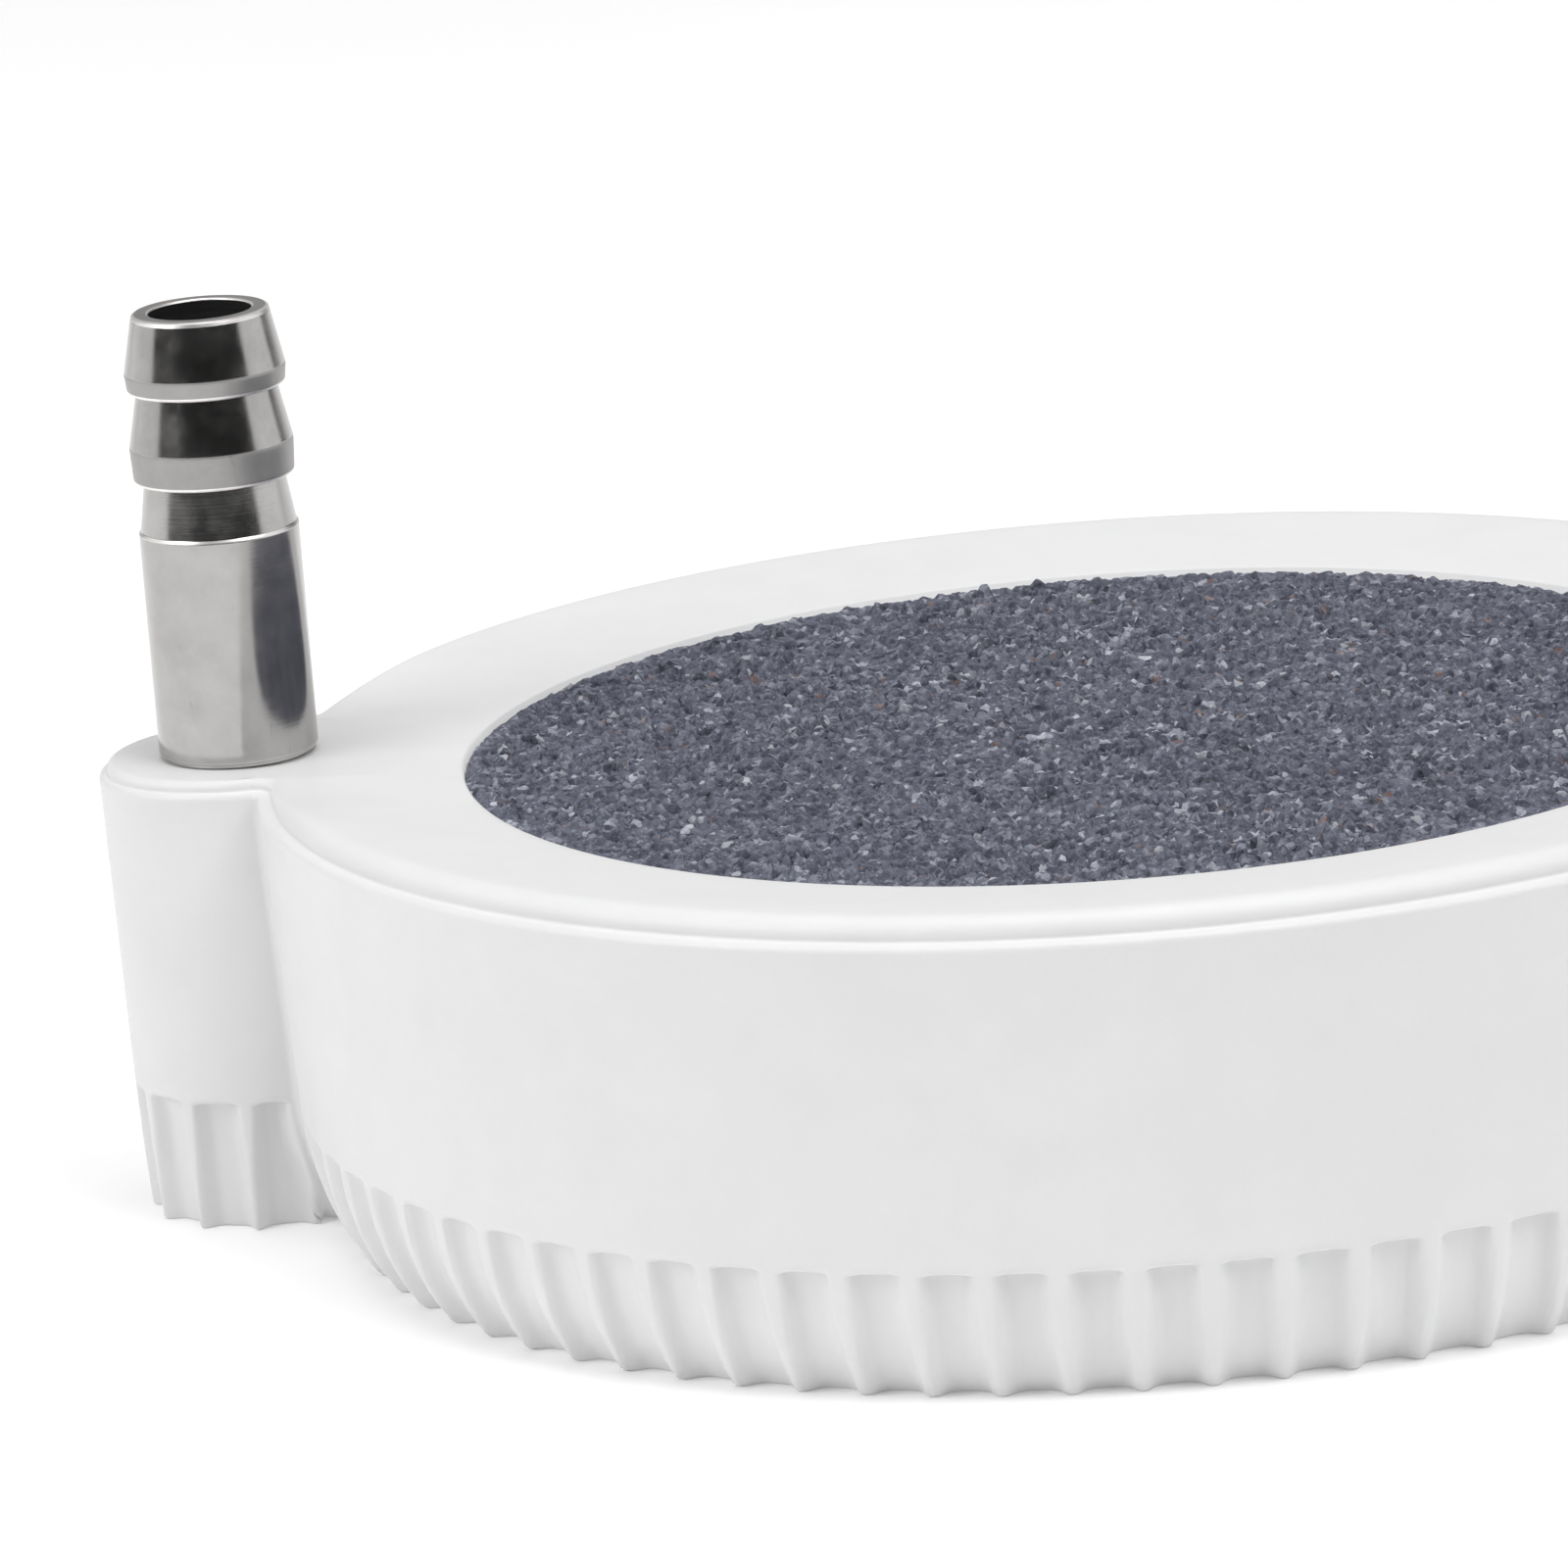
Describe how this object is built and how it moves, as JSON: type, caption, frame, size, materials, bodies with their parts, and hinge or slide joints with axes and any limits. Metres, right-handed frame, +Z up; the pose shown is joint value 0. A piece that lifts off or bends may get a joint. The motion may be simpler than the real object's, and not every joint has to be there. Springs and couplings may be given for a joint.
{
  "type": "disc air stone",
  "caption": "Round air stone: a fluted white housing with a porous disc set flush in its top and an upright metal hose barb in a side boss.",
  "frame": {"origin": "axis of the round body, on the resting face", "axes": "+Z up out of the stone; -X from the body's axis towards the boss with the hose barb; the body is symmetric about the XZ plane but for the phase of its flutes"},
  "size_m": [0.0583, 0.053, 0.0287],
  "materials": {
    "white_plastic": "fine matte moulded",
    "porous_stone": "coarse bonded mineral grains",
    "barb_metal": "turned, lightly scuffed",
    "ballast_steel": "plain stamped",
    "seal_rubber": "soft matte",
    "bond_resin": "cast resin"
  },
  "bodies": {
    "root": {"housing": "white_plastic", "base_cover": "white_plastic", "cover_gasket": "seal_rubber", "ballast_ring": "ballast_steel", "air_stone": "porous_stone", "stone_bond": "bond_resin", "hose_barb": "barb_metal", "barb_o_ring": "seal_rubber"}
  },
  "joints": []
}
